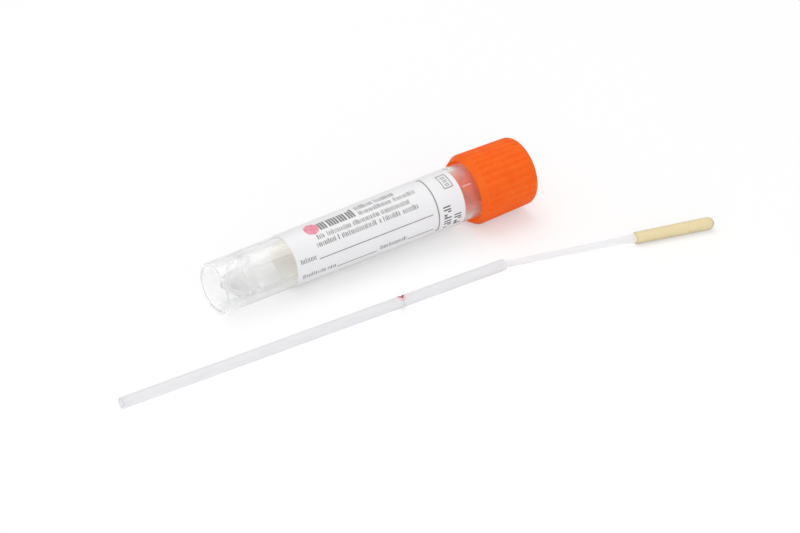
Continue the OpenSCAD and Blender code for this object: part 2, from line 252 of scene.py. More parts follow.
print("thread from", THREAD_START, "to", THREAD_START + TURNS * PITCH)

# %% [markdown]
# ## The tube
# The tube stands on a skirt below its conical bottom, which is how a round tube can
# stand on a bench. One closed outline goes down the outside of the cone, round the
# skirt, up the barrel and back down the bore, so the wall has two real surfaces
# and light bends in it as it should. A small disc at the nose is where the plastic
# was let into the mould.

# %% Outline of the tube
def leaving(centre_height, radius, r, s):
    """Angle at which a line to (r, s) leaves a nose of a radius on the axis."""
    up = s - centre_height
    return math.atan2(up, r) + math.asin(radius / math.hypot(r, up)) - math.pi / 2


def nose_points(centre_height, radius, r, s, start=-90.0, steps=9):
    low, high = math.radians(start), leaving(centre_height, radius, r, s)
    angles = [low + (high - low) * k / steps for k in range(steps + 1)]
    return [(max(0.0, radius * math.cos(a)), centre_height + radius * math.sin(a)) for a in angles]


NOSE_CENTRE = NOSE_RECESS + NOSE_R
CAVITY_TOP = CONE_TOP + CONE_WALL
gate = rounded([(0, NOSE_RECESS - 0.3, 0), (0.6, NOSE_RECESS - 0.3, 0.12), (0.68, NOSE_RECESS + 0.1, 0)])
nose = nose_points(NOSE_CENTRE, NOSE_R, SKIRT_R - SKIRT_WALL, CONE_TOP, start=-72)
skirt = rounded([
    (*nose[-1], 0), (SKIRT_R - SKIRT_WALL, CONE_TOP, 0.5), (SKIRT_R - SKIRT_WALL, 0, 0.3),
    (SKIRT_R, 0, RIM_ROUND), (SKIRT_R, SKIRT_STRAIGHT, 3), (barrel_r(LABEL_START), LABEL_START, 0),
    (barrel_r(LABEL_END), LABEL_END, 0), (MOUTH_R, TUBE_LEN, 0.25),
    (MOUTH_R - WALL, TUBE_LEN, 0.25), (bore_r(CAVITY_TOP), CAVITY_TOP, 1.2),
    (*nose_points(NOSE_CENTRE, NOSE_R - WALL, bore_r(CAVITY_TOP), CAVITY_TOP)[-1], 0),
])
inner_nose = nose_points(NOSE_CENTRE, NOSE_R - WALL, bore_r(CAVITY_TOP), CAVITY_TOP)[::-1]
tube_outline = gate + nose + skirt[1:] + inner_nose[1:]
print("tube outline", len(tube_outline), "rows")

# %% Turn the tube
def tube_relief(angle, r, s):
    """The thread, and the label's seat, where glue leaves no air under the label."""
    if r < barrel_r(s) - 0.1:
        return 0.0
    label_seat = 0.03 * eased((s - LABEL_START) / 0.05) * eased((LABEL_END - s) / 0.05)
    return RIDGE_H * ridge(angle, s, THREAD_START) + label_seat


def on_outside(r):
    return r > SKIRT_R - 0.01


tube_rows = refined(tube_outline, THREAD_START - 0.7, TUBE_LEN - 3, 0.12, on_outside)
tube = turned("tube_body", tube_rows, lay_tube, relief=tube_relief)
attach(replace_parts(tube, "tube"), "tube")
print("tube", len(tube.data.polygons), "faces")

# %% [markdown]
# ## Fields wrapped on the barrel
# The label, its print and the mould line on the neck all follow the barrel. Each
# is a thin curved block between two heights and two bearings. Shrinkwrapping flat
# pieces would do it too, but the barrel's radius is known at every height, so the
# points can be put straight on it.

# %% Curved blocks
class Blocks:
    """Collects curved blocks that lie on the barrel, for one mesh."""

    def __init__(self):
        self.verts, self.faces = [], []

    def add(self, heights, bearings, under, thick, steps=None):
        """One block between two heights and two bearings, from a depth under its face."""
        steps = steps or max(1, math.ceil(abs(bearings[1] - bearings[0]) / 4))
        base = len(self.verts)
        for k in range(steps + 1):
            angle = around_tube(bearings[0] + (bearings[1] - bearings[0]) * k / steps)
            for s in heights:
                for off in (under, under + thick):
                    r = barrel_r(s) + off
                    self.verts.append((r * math.cos(angle), r * math.sin(angle), s))
        for k in range(steps):
            a = base + 4 * k
            for i, j in ((0, 1), (1, 3), (3, 2), (2, 0)):
                self.faces.append((a + i, a + j, a + j + 4, a + i + 4))
        last = base + 4 * steps
        self.faces += [(base, base + 2, base + 3, base + 1), (last + 1, last + 3, last + 2, last)]

    def made(self, name):
        piece = shaded_object(name, self.verts, self.faces, lay_tube)
        piece.data.polygons.foreach_set("use_smooth", [False] * len(piece.data.polygons))
        return piece


MOULD_FROM, MOULD_TO, MOULD_BEARINGS = 0.8, 3.1, (45.2, 47.2)
mould = Blocks()
mould.add((LABEL_END + MOULD_FROM, LABEL_END + MOULD_TO), MOULD_BEARINGS, -0.2, 0.3)
mould_line = mould.made("mould_line")
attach(mould_line, "tube")
print("mould line made")

# %% [markdown]
# ## The label
# The label is a strip of white film wrapped round the barrel, with a narrow gap
# underneath where its ends don't quite meet. Its corners are cut round, as on any
# label from a roll. It is a closed sheet 0.1 mm thick: the face outside is white, and
# the back, seen through the tube, is a darker, warmer grey whose darkness is painted
# shade inside the tube, so they get two materials.

# %% Sheet of the label
LABEL_CORNER, LABEL_GAP, GAP_BEARING = 1.6, 8.0, -62.0


def label_sheet():
    """Rows along the axis; near the two edges they draw in round the cut corners."""
    corner = [0, 0.04, 0.16, 0.4, 0.75, 1.15, LABEL_CORNER]
    heights = [LABEL_START + c for c in corner]
    heights += [LABEL_START + LABEL_W * k / 12 for k in range(1, 12)]
    heights += [LABEL_END - c for c in reversed(corner)]
    across, verts, faces = 200, [], []
    for s in heights:
        near = min(s - LABEL_START, LABEL_END - s, LABEL_CORNER)
        draw_in = LABEL_CORNER - math.sqrt(LABEL_CORNER ** 2 - (LABEL_CORNER - near) ** 2)
        half = 180 - LABEL_GAP / 2 - math.degrees(draw_in / SKIRT_R)
        for off in (0.0, LABEL_T):
            for k in range(across + 1):
                angle = around_tube(GAP_BEARING + 180 - half + 2 * half * k / across)
                r = barrel_r(s) + off
                verts.append((r * math.cos(angle), r * math.sin(angle), s))
    row = across + 1
    for i in range(len(heights) - 1):
        a, b = 2 * i * row, 2 * (i + 1) * row
        for k in range(across):
            faces.append((a + k, a + k + 1, b + k + 1, b + k))
            faces.append((b + row + k, b + row + k + 1, a + row + k + 1, a + row + k))
        for k in (0, across):
            edge = (a + k, b + k, b + row + k, a + row + k)
            faces.append(edge if k == 0 else edge[::-1])
    for i in (0, len(heights) - 1):
        a = 2 * i * row
        for k in range(across):
            edge = (a + k, a + row + k, a + row + k + 1, a + k + 1)
            faces.append(edge if i == 0 else edge[::-1])
    return verts, faces


label = shaded_object("label_sheet", *label_sheet(), lay_tube)
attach(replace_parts(label, "label"), "tube")
print("label", len(label.data.polygons), "faces")

# %% [markdown]
# ## Print on the label
# The lines to write on and the round mark are solids of the model already. The
# small words become rows of plain upright ticks: from a step away they read as
# print, and close by they say nothing. Each row keeps its words' places and
# widths. A place along the label is counted in hundredths of its width.

# %% Rows of ticks
WORD_GAP, TEXT_H, TITLE_H = 1.3, 1.15, 2.8
WORD_ROWS = [
    (92, 43, 1.45, (10.5, 11.5)), (75, 43, TEXT_H, (19.5, 13)),
    (58.5, 16, TEXT_H, (4.5, 14, 15.5, 17.5)), (43.5, 14, TEXT_H, (11, 1, 21, 1, 10.5, 9.5)),
    (22, 2.5, TEXT_H, (9.5,)), (-13.5, 3, TEXT_H, (13, 5)), (-13.5, 48.5, TEXT_H, (16,)),
]
TITLE = (84, 20, 21)
INK = (LABEL_T + PRINT_LIFT, PRINT_T)


def column(n):
    """Height above the rim of a column of the label's print."""
    return LABEL_START + n * LABEL_W / 100


def degrees_round(width):
    """Degrees that a width takes round the label."""
    return math.degrees(width / (SKIRT_R + LABEL_T))


def word_ticks(blocks, dice, bearing, start, end, height):
    """Fills a word's place with upright ticks, most low and some tall."""
    foot = bearing - degrees_round(height / 2)
    place = start
    while place < end - 0.2:
        wide = dice.choice((0.14, 0.16, 0.2, 0.26))
        tall = height * (1.0 if dice.random() < 0.25 else 0.78)
        blocks.add((place, min(place + wide, end)), (foot, foot + degrees_round(tall)), *INK)
        place += wide + dice.choice((0.22, 0.28, 0.34))


dice = random.Random(7)
small_print = Blocks()
for bearing, first, height, words in WORD_ROWS:
    for width in words:
        word_ticks(small_print, dice, bearing, column(first), column(first + width), height)
        first += width + WORD_GAP
bearing, first, width = TITLE
for at, strokes in ((0, 3), (5.3, 4), (11.6, 3), (16.7, 3)):
    foot = bearing - degrees_round(TITLE_H / 2)
    for k in range(strokes):
        tall = TITLE_H * (1.0 if at > 15 and k == strokes - 1 else 0.8)
        start = column(first + at) + 0.68 * k
        small_print.add((start, start + 0.5), (foot, foot + degrees_round(tall)), *INK)
ticks = small_print.made("print_ticks")
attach(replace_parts(ticks, "text_bars"), "tube")
print("print", len(ticks.data.polygons), "faces")

# %% [markdown]
# ## The small panel
# The boxed panel near the cap holds three pairs of short bars. They stand for its
# letters and say nothing.

# %% Marks in the small panel
PANEL_MARKS, PANEL_BEARINGS, PANEL_ASIDE, PANEL_HALF = (93.1, 95.7), (62, 71, 80), 1.8, 0.7
panel = Blocks()
for bearing in PANEL_BEARINGS:
    for aside in (-PANEL_ASIDE, PANEL_ASIDE):
        bar = (bearing + aside - PANEL_HALF, bearing + aside + PANEL_HALF)
        panel.add([column(n) for n in PANEL_MARKS], bar, *INK)
panel_marks = panel.made("panel_marks")
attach(panel_marks, "tube")
print("panel", len(panel_marks.data.polygons), "faces")

# %% [markdown]
# ## The date code
# The dark code near the cap is printed later than the label, by an ink jet, and
# across it. Here each of its signs is a group of plain dashes, in the same two rows.

# %% Dashes of the date code
CODE_ROWS, CODE_STEP = [(87, 91.4, 17, 5), (93.2, 97.4, -6, 3)], 10.5
DASHES = [((0, 1, -3), (0, 1, 3)), ((0, 0.45, -3), (0.55, 1, 2.6)), ((0, 1, 0), (0.1, 0.4, 3.4))]
code = Blocks()
for low, high, bearing, count in CODE_ROWS:
    for i in range(count):
        for start, end, aside in DASHES[i % len(DASHES)]:
            s0, s1 = (column(low + (high - low) * part) for part in (start, end))
            middle = bearing - i * CODE_STEP + aside
            code.add((s0, s1), (middle - 1.1, middle + 1.1), *INK)
dashes = code.made("code_dashes")
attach(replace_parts(dashes, "date_code"), "tube")
print("date code", len(dashes.data.polygons), "faces")

# %% [markdown]
# ## The liquid
# A millilitre of medium has run to the low side of the lying tube. Its surface is
# level, and at the wall it creeps up a little, which draws the bright line seen
# through the plastic. It is lofted from cuts across the tube, each the part of the
# bore's circle that lies below the level. Its skin reaches slightly into the wall,
# so that light passes from plastic to liquid with no film of air between.

# %% Loft the liquid
LEVEL, CREEP, CREEP_REACH, SOAK = 4.4, 0.35, 0.45, 0.03
inner_tip = inner_nose[0]


def cavity_r(s):
    """Inner radius of the tube, with its conical bottom."""
    if s >= CAVITY_TOP:
        return bore_r(s)
    r0, s0 = inner_tip
    return r0 + (bore_r(CAVITY_TOP) - r0) * (s - s0) / (CAVITY_TOP - s0)


def depth_at(s):
    """Distance across the tube from its axis down to the level at a height."""
    return (rim_centre.z / MM + s * axis.z - LEVEL) / math.sqrt(1 - axis.z ** 2)


def liquid_cut(s, count=26):
    """Points of one cut: along the wall, then back along the surface."""
    r, x0 = cavity_r(s) + SOAK, depth_at(s)
    half = math.acos(min(1.0, x0 / r))
    wall = [(r * math.cos(half * t), r * math.sin(half * t)) for t in
            (-1 + 2 * k / count for k in range(count + 1))]
    width = r * math.sin(half)
    top = []
    for k in range(1, count):
        y = width * math.cos(math.pi * k / count)
        creep = CREEP * math.exp(-(width - abs(y)) / CREEP_REACH) * min(1.0, width / 2)
        top.append((x0 - creep * (1 - eased(1 - (width - abs(y)) / 0.05)), y))
    return [(x, y, s) for x, y in wall + top]


first_cut = next(s / 100 for s in range(370, 900) if cavity_r(s / 100) > depth_at(s / 100) + 0.02)
cuts = [first_cut + (CAVITY_TOP - first_cut) * (k / 12) ** 1.4 for k in range(12)]
cuts += [CAVITY_TOP + (TUBE_LEN - 0.5 - CAVITY_TOP) * k / 40 for k in range(41)]
rings = [liquid_cut(s) for s in cuts]
size = len(rings[0])
verts = [point for ring in rings for point in ring]
faces = [(i * size + k, i * size + (k + 1) % size, (i + 1) * size + (k + 1) % size, (i + 1) * size + k)
         for i in range(len(rings) - 1) for k in range(size)]
faces += [tuple(range(size))[::-1], tuple(range((len(rings) - 1) * size, len(rings) * size))]
liquid = shaded_object("liquid", verts, faces, lay_tube)
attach(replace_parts(liquid, "transport_medium"), "tube")
print("liquid from", first_cut, "with", len(liquid.data.polygons), "faces")

# %% [markdown]
# ## The screw cap
# The cap is turned from one closed outline: lip, ribbed wall, rounded end, the
# socket inside that grips the broken stick, the seal's seat and the threaded bore.
# Its 30 grooves could be cut with Booleans, but relief keeps every edge soft, as
# moulded polyethylene is. The grooves run out before the closed end, and before the
# smooth bevelled band at the lip.

# %% Outline of the cap
LIP, BAND_END, CAP_END, CAP_DRAFT, CAP_WALL = 67.4, 68.9, 83.4, math.radians(1.25), 1.12
CAP_CEILING, LIP_LAND, RIBS, RIB_H, RIB_SHARE, RIB_FLANK = 81.04, 0.1, 30, 0.28, 0.6, 0.36
CAP_BORE = barrel_r(TUBE_LEN - THREAD_DROP) + RIDGE_H + CREST_PLAY
LIP_R, SEAT_R, SEAT_DEPTH = CAP_BORE + CAP_WALL, MOUTH_R + 0.3, 1.85
SOCKET_R, SOCKET_MOUTH, SOCKET_LEN, SOCKET_ENTRY, SOCKET_WALL = 1.3, 2.0, 5.5, 2.5, 0.7


def cap_r(s):
    return LIP_R - (s - LIP) * math.tan(CAP_DRAFT)


socket_end = CAP_CEILING - SOCKET_LEN
cap_outline = rounded([
    (CAP_BORE, (LIP + CAP_CEILING - SEAT_DEPTH) / 2, 0),
    (CAP_BORE, LIP, 0.07), (CAP_BORE + LIP_LAND, LIP, 0.1), (cap_r(BAND_END), BAND_END, 0.6),
    (cap_r(CAP_END), CAP_END, 1.15), (0, CAP_END, 0)])
cap_inside = rounded([
    (0, CAP_CEILING, 0), (SOCKET_R, CAP_CEILING, 0.15), (SOCKET_R, socket_end + SOCKET_ENTRY, 0.6),
    (SOCKET_MOUTH, socket_end, 0.12), (SOCKET_MOUTH + SOCKET_WALL, socket_end, 0.2),
    (SOCKET_MOUTH + SOCKET_WALL, CAP_CEILING, 0.3), (SEAT_R, CAP_CEILING, 0.15),
    (SEAT_R, CAP_CEILING - SEAT_DEPTH, 0.1), (CAP_BORE, CAP_CEILING - SEAT_DEPTH, 0.2),
    (CAP_BORE, (LIP + CAP_CEILING - SEAT_DEPTH) / 2, 0)])[:-1]
print("cap outline", len(cap_outline) + len(cap_inside), "rows")

# %% Relief and turning of the cap
CAP_THREAD_START = THREAD_START - (
    RIDGE_FOOT - (CAP_BORE - MOUTH_R) * (RIDGE_FOOT - RIDGE_CREST) / 2 / RIDGE_H + FLANK_PLAY)


def cap_relief(angle, r, s):
    """Grooves outside, the thread inside."""
    if r > cap_r(s) - 0.05 and s > BAND_END - 0.3:
        phase = (angle / math.tau * RIBS) % 1.0
        rib = eased(0.5 + (RIB_SHARE / 2 - min(phase, 1 - phase)) / RIB_FLANK)
        along = eased((s - BAND_END + 0.05) / 0.4) * eased((CAP_END - 1.05 - s) / 0.7)
        return -RIB_H * (1 - rib) * along
    if abs(r - CAP_BORE) < 0.02 and s > LIP + 0.2:
        return -RIDGE_H * ridge(angle, s, CAP_THREAD_START)
    return 0.0


cap_rows = refined(cap_outline, BAND_END - 0.2, BAND_END + 0.5, 0.08, lambda r: r > CAP_BORE + 0.3)
cap_rows = refined(cap_rows, CAP_END - 2.3, CAP_END - 1.1, 0.12, lambda r: r > CAP_BORE + 0.3)
cap_rows += cap_inside
in_bore = lambda r: abs(r - CAP_BORE) < 0.02
cap_rows = refined(cap_rows, CAP_THREAD_START - 0.8, CAP_THREAD_START + TURNS * PITCH + 0.8, 0.14, in_bore)
cap = turned("ribbed_cap", cap_rows, lay_tube, around=RIBS * 16, relief=cap_relief, loop=True)
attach(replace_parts(cap, "screw_cap"), "cap")
print("cap", len(cap.data.polygons), "faces")

# %% [markdown]
# ## The swab's stick
# The stick is one moulding: a thick handle with a dimple in its end and a groove
# where it snaps, a shoulder, and a thin shaft that flares before the flock. In use
# it has been bent at the shoulder. A curve with a bevel would give the bend but not
# the steps in radius, so rings are set along the path, each with its own radius.

# %% Sizes of the stick
HANDLE_LEN, HANDLE_END_R, HANDLE_R, END_INSET = 99.1, 1.28, 1.35, 0.013
SHAFT_LEN, SHAFT_R, SHAFT_END_R, FLARE_LEN, FLARE_R, CORE_R = 32.2, 0.76, 0.9, 2.5, 1.06, 0.95
TIP_LEN, TIP_START_R, TIP_R, TIP_COVER = 20.2, 1.5, 1.6, 1.2
BREAK_AT, BREAK_W, BREAK_DEPTH = HANDLE_LEN + SHAFT_LEN + TIP_LEN - 80.0, 0.8, 0.35
SHOULDER_Z, HANDLE_HEADING, SHAFT_HEADING = HANDLE_R + 0.05, -0.64, -14.14
stick_low, stick_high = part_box("swab_stick")
handle_start = Vector((stick_low.x / MM + END_INSET, stick_high.y / MM - HANDLE_END_R, HANDLE_END_R))


def heading_vector(heading, climb):
    heading = math.radians(heading)
    return Vector((math.cos(climb) * math.cos(heading), math.cos(climb) * math.sin(heading), math.sin(climb)))


handle_way = heading_vector(HANDLE_HEADING, math.asin((SHOULDER_Z - HANDLE_END_R) / HANDLE_LEN))
shaft_way = heading_vector(
    SHAFT_HEADING, math.asin((TIP_R - SHOULDER_Z) / (SHAFT_LEN + TIP_LEN - TIP_R)))
shoulder = handle_start + handle_way * HANDLE_LEN
print("shoulder at", [round(c, 2) for c in shoulder])

# %% Rings along the stick
def handle_radius(z):
    return HANDLE_END_R + (HANDLE_R - HANDLE_END_R) * z / HANDLE_LEN


def across_way(way):
    """A level direction across a way, and the one that stands up from both."""
    across = way.cross(Vector((0, 0, 1))).normalized()
    return across, across.cross(way)


def swept(name, stations, around, place):
    """Skins rings of (centre, direction, radius); a radius of 0 closes an end."""
    verts, rings = [], []
    for centre, way, radius in stations:
        across, up = across_way(way)
        ring = []
        for k in range(1 if radius < 1e-6 else around):
            angle = math.tau * k / around
            ring.append(len(verts))
            verts.append(centre + across * (radius * math.cos(angle)) + up * (radius * math.sin(angle)))
        rings.append(ring)
    return shaded_object(name, verts, skinned(rings, around, turn_over=True), place)


low, high = BREAK_AT - BREAK_W / 2, BREAK_AT + BREAK_W / 2
handle = rounded([
    (0, 0.7, 0), (0.52, 0.7, 0.25), (0.75, 0, 0.1), (HANDLE_END_R, 0, 0.2), (handle_radius(low), low, 0.25),
    (handle_radius(BREAK_AT) - BREAK_DEPTH, BREAK_AT, 0.08), (handle_radius(high), high, 0.25),
    (HANDLE_R, HANDLE_LEN, 0.3), (SHAFT_R + 0.1, HANDLE_LEN, 0)], hold=0.04)
stations = [(handle_start + handle_way * z, handle_way, r) for r, z in handle]
BEND = 1.0
for k in range(1, 9):
    t = k / 8
    centre = shoulder + handle_way * (0.12 * t * (1 - t)) + shaft_way * (BEND * t * t)
    way = handle_way.lerp(shaft_way, eased(t * 1.5)).normalized()
    stations.append((centre, way, SHAFT_R + 0.1 * (1 - t) ** 3))
core_end = SHAFT_LEN + TIP_LEN - TIP_COVER
shaft = rounded([
    (SHAFT_R, BEND, 0), (SHAFT_END_R, SHAFT_LEN - FLARE_LEN, 4), (FLARE_R, SHAFT_LEN, 0.1),
    (CORE_R, SHAFT_LEN + 0.05, 0.1), (CORE_R, core_end, 0.6), (0, core_end, 0)], hold=0.04)
stations += [(shoulder + shaft_way * z, shaft_way, r) for r, z in shaft[1:]]
stick = swept("stick", stations, 64, to_metres)
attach(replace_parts(stick, "swab_stick"), "tube")
print("stick", len(stick.data.polygons), "faces")

# %% [markdown]
# ## The inked break point
# A dab of red ink marks where the handle snaps. It is a thin patch that follows the
# groove and runs out unevenly, because it is wiped on. The ink is pink; on the upper
# side, in the groove, its faces are nearly black, which is painted shade in the notch.
# So its faces are sorted between the pink ink and the painted shade. A painted mask in
# the stick's material would do it too, but a patch of its own can be recoloured.

# %% Patch of ink
INK_AT, INK_FROM, INK_SPAN = BREAK_AT - 0.3, 36, 114
# Where the painted shade of the notch lies: its half length along the stick, and the bearings over which it
# grows to that.
SHADE_HALF, SHADE_FROM, SHADE_SPAN = 0.85, 64, 45


def ink_patch(count=40, rows=17, reach=1.0, thick=0.025):
    dice = random.Random(3)
    wander = [dice.uniform(-0.22, 0.12) for _ in range(count + 1)]
    across, up = across_way(handle_way)
    verts, faces = [], []
    for lift in (0.004, thick):
        for k in range(count + 1):
            angle = math.radians(INK_FROM + INK_SPAN * k / count)
            round_off = math.sqrt(max(0.05, math.sin(math.pi * (k + 0.5) / (count + 1))))
            half = (reach + (wander[k] + wander[max(0, k - 1)]) / 2) * round_off
            for j in range(rows):
                z = INK_AT + half * (2 * j / (rows - 1) - 1)
                dip = BREAK_DEPTH * max(0.0, 1 - abs(z - BREAK_AT) / (BREAK_W / 2))
                r = handle_radius(z) - dip + lift
                spot = handle_start + handle_way * z + across * (r * math.cos(angle))
                verts.append(spot + up * (r * math.sin(angle)))
    layer = (count + 1) * rows
    for k in range(count):
        for j in range(rows - 1):
            a = k * rows + j
            faces.append((a, a + rows, a + rows + 1, a + 1))
            faces.append((a + layer, a + 1 + layer, a + rows + 1 + layer, a + rows + layer))
    edge = [k * rows for k in range(count + 1)] + [count * rows + j for j in range(1, rows)]
    edge += [k * rows + rows - 1 for k in range(count - 1, -1, -1)] + [j for j in range(rows - 2, 0, -1)]
    for a, b in zip(edge, edge[1:] + edge[:1]):
        faces.append((a, a + layer, b + layer, b))
    return verts, faces


ink = shaded_object("break_ink", *ink_patch(), to_metres)
across, up = across_way(handle_way)
# Faces in the groove on the upper side get the painted shade of the notch.
notch_shade = []
for face in ink.data.polygons:
    at = face.center / MM - handle_start
    angle = math.degrees(math.atan2(at.dot(up), at.dot(across)))
    shade_here = SHADE_HALF * min(1.0, max(0.0, (angle - SHADE_FROM) / SHADE_SPAN))
    notch_shade.append(abs(at.dot(handle_way) - INK_AT) < shade_here)
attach(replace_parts(ink, "break_mark"), "tube")
print("break ink", len(ink.data.polygons), "faces")

# %% [markdown]
# ## The flocked tip
# Flock is short fibre shot into glue by static charge, so every fibre stands nearly
# upright and the tip looks like velvet. Hair particles would not survive an export,
# so the fibres are real meshes: thin three-sided spikes over a slightly smaller,
# uneven core. None is longer than the solid's own radius.

# %% Core of the tip
START_ROUND = 0.55


def tip_profile(share):
    """Radius and distance of the tip's surface at a share of the way along its outline."""
    straight = TIP_LEN - TIP_R
    length = straight + TIP_R * math.pi / 2
    way = share * length
    if way < straight:
        back = 1 - min(1.0, way / START_ROUND)
        drawn_in = 0.8 * START_ROUND * (1 - math.sqrt(1 - back * back))
        r = TIP_START_R + (TIP_R - TIP_START_R) * way / straight - drawn_in
        return r, SHAFT_LEN + way, -back
    turn = (way - straight) / TIP_R
    return TIP_R * math.cos(turn), SHAFT_LEN + straight + TIP_R * math.sin(turn), turn


PILE = 0.2
across_tip, up_tip = across_way(shaft_way)


def tip_point(share, angle, sink):
    """Point of the tip's surface sunk by a depth, and the direction out of it."""
    r, z, turn = tip_profile(share)
    spoke = across_tip * math.cos(angle) + up_tip * math.sin(angle)
    out = spoke * math.cos(turn) + shaft_way * math.sin(turn)
    spot = shoulder + shaft_way * z + spoke * r
    return spot - out * sink, out


dice = random.Random(11)
core_rows, core_around = 150, 60
verts, faces = [shoulder + shaft_way * (SHAFT_LEN + 0.12)], []
for i in range(core_rows):
    share = 0.002 + 0.996 * i / (core_rows - 1)
    for k in range(core_around):
        sink = PILE + dice.uniform(-0.05, 0.03) + 0.15 * max(0.0, 1 - i / 4)
        verts.append(tip_point(share, math.tau * (k + 0.5 * (i % 2)) / core_around, sink)[0])
verts.append(tip_point(1, 0, PILE)[0])
for k in range(core_around):
    k2 = (k + 1) % core_around
    faces.append((0, 1 + k, 1 + k2))
    end = 1 + (core_rows - 1) * core_around
    faces.append((end + k, len(verts) - 1, end + k2))
    for i in range(core_rows - 1):
        a = 1 + i * core_around
        faces.append((a + k, a + core_around + k, a + core_around + k2, a + k2))
core = shaded_object("flock_core", verts, faces, to_metres)
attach(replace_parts(core, "flocked_tip"), "tube")
print("flock core", len(core.data.polygons), "faces")

# %% Fibres of the tip
def fibres(count):
    dice = random.Random(5)
    verts, faces = [], []
    for _ in range(count):
        share, angle = dice.uniform(0.003, 0.995), dice.uniform(0, math.tau)
        foot, out = tip_point(share, angle, PILE + 0.03)
        lean = Vector((dice.gauss(0, 1), dice.gauss(0, 1), dice.gauss(0, 1)))
        stem = (out + lean * 0.28).normalized()
        length = dice.uniform(0.13, 0.22)
        girth = dice.uniform(0.022, 0.034)
        a = stem.orthogonal().normalized() * girth
        b = stem.cross(a)
        base = len(verts)
        verts += [foot + a, foot - a * 0.5 + b * 0.87, foot - a * 0.5 - b * 0.87, foot + stem * length]
        faces += [(base, base + 1, base + 3), (base + 1, base + 2, base + 3), (base + 2, base, base + 3)]
    return verts, faces


pile = shaded_object("flock_fibres", *fibres(16000), to_metres)
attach(pile, "tube")
print("fibres", len(pile.data.polygons), "faces")

# %% [markdown]
# ## Materials: the tools
# A material is a small graph of nodes round one Principled shader. A few helpers
# keep the graphs short: one starts a material, one adds a node and sets its
# sockets by name, and one builds a node group with named inputs and outputs, so an
# effect is made once and used with other values in each finish.

# %% Node helpers
def add(tree, kind, sockets=(), **settings):
    node = tree.nodes.new(kind)
    for key, value in settings.items():
        setattr(node, key, value)
    for key, value in dict(sockets).items():
        node.inputs[key].default_value = value
    return node


def finish_of(name, **sockets):
    """A material with one Principled shader; its sockets by name, spaces as underscores."""
    material = bpy.data.materials.new(name)
    material.use_nodes = True
    tree = material.node_tree
    tree.nodes.clear()
    out = add(tree, "ShaderNodeOutputMaterial")
    shader = add(tree, "ShaderNodeBsdfPrincipled", {k.replace("_", " "): v for k, v in sockets.items()})
    tree.links.new(shader.outputs[0], out.inputs["Surface"])
    return material, tree, shader, out


def effect(name, inputs, outputs):
    """An empty shader node group; inputs and outputs are (name, kind, value)."""
    group = bpy.data.node_groups.new(name, "ShaderNodeTree")
    for title, kind, value in inputs:
        socket = group.interface.new_socket(title, in_out="INPUT", socket_type="NodeSocket" + kind)
        socket.default_value = value
    for title, kind in outputs:
        group.interface.new_socket(title, in_out="OUTPUT", socket_type="NodeSocket" + kind)
    return group, group.nodes.new("NodeGroupInput"), group.nodes.new("NodeGroupOutput")


def use(tree, group, **sockets):
    node = tree.nodes.new("ShaderNodeGroup")
    node.node_tree = group
    for key, value in sockets.items():
        node.inputs[key.replace("_", " ")].default_value = value
    return node


def dress(piece, *materials):
    piece.data.materials.clear()
    for material in materials:
        piece.data.materials.append(material)


print("node helpers ready")

# %% [markdown]
# ## Three shared effects
# Moulded plastic is never optically perfect: its skin has a faint waviness. Its
# colour drifts a little where it cooled unevenly. Ink sits unevenly on a label. All
# three come from noise in the object's own coordinates, in metres, so a size can be
# given in millimetres and holds on every piece.

# %% Waviness, drift and uneven ink
def sized_noise(tree, size_socket, detail=2.0):
    """Noise whose features are as wide as a size in millimetres."""
    place = add(tree, "ShaderNodeTexCoord")
    scale = add(tree, "ShaderNodeMath", operation="DIVIDE")
    scale.inputs[0].default_value = 1000.0
    noise = add(tree, "ShaderNodeTexNoise", {"Detail": detail, "Roughness": 0.55})
    tree.links.new(size_socket, scale.inputs[1])
    tree.links.new(scale.outputs[0], noise.inputs["Scale"])
    tree.links.new(place.outputs["Object"], noise.inputs["Vector"])
    return noise


skin, entry, exit_ = effect("Moulded skin", [("Size", "Float", 1.0)], [("Height", "Float")])
skin.links.new(sized_noise(skin, entry.outputs["Size"]).outputs[0], exit_.inputs["Height"])

drift, entry, exit_ = effect(
    "Colour drift",
    [("Color", "Color", (1, 1, 1, 1)), ("Other", "Color", (0, 0, 0, 1)),
     ("Size", "Float", 5.0), ("Amount", "Float", 0.5)],
    [("Color", "Color")])
noise = sized_noise(drift, entry.outputs["Size"], 3.0)
spread = add(drift, "ShaderNodeMapRange", {"From Min": 0.35, "From Max": 0.65})
share = add(drift, "ShaderNodeMath", operation="MULTIPLY")
mix = add(drift, "ShaderNodeMix", data_type="RGBA")
drift.links.new(noise.outputs[0], spread.inputs["Value"])
drift.links.new(spread.outputs[0], share.inputs[0])
drift.links.new(entry.outputs["Amount"], share.inputs[1])
drift.links.new(share.outputs[0], mix.inputs[0])
drift.links.new(entry.outputs["Color"], mix.inputs[6])
drift.links.new(entry.outputs["Other"], mix.inputs[7])
drift.links.new(mix.outputs[2], exit_.inputs["Color"])
print("groups", [group.name for group in bpy.data.node_groups])

# %% Put a skin and a drift on a shader
def moulded(tree, shader, size, strength, distance):
    """Waves the normal of a shader by the moulded skin."""
    group = use(tree, skin, Size=size)
    bump = add(tree, "ShaderNodeBump", {"Strength": strength, "Distance": distance * MM})
    tree.links.new(group.outputs["Height"], bump.inputs["Height"])
    tree.links.new(bump.outputs["Normal"], shader.inputs["Normal"])


def drifting(tree, shader, color, other, size, amount):
    group = use(tree, drift, Color=(*color, 1), Other=(*other, 1), Size=size, Amount=amount)
    tree.links.new(group.outputs["Color"], shader.inputs["Base Color"])


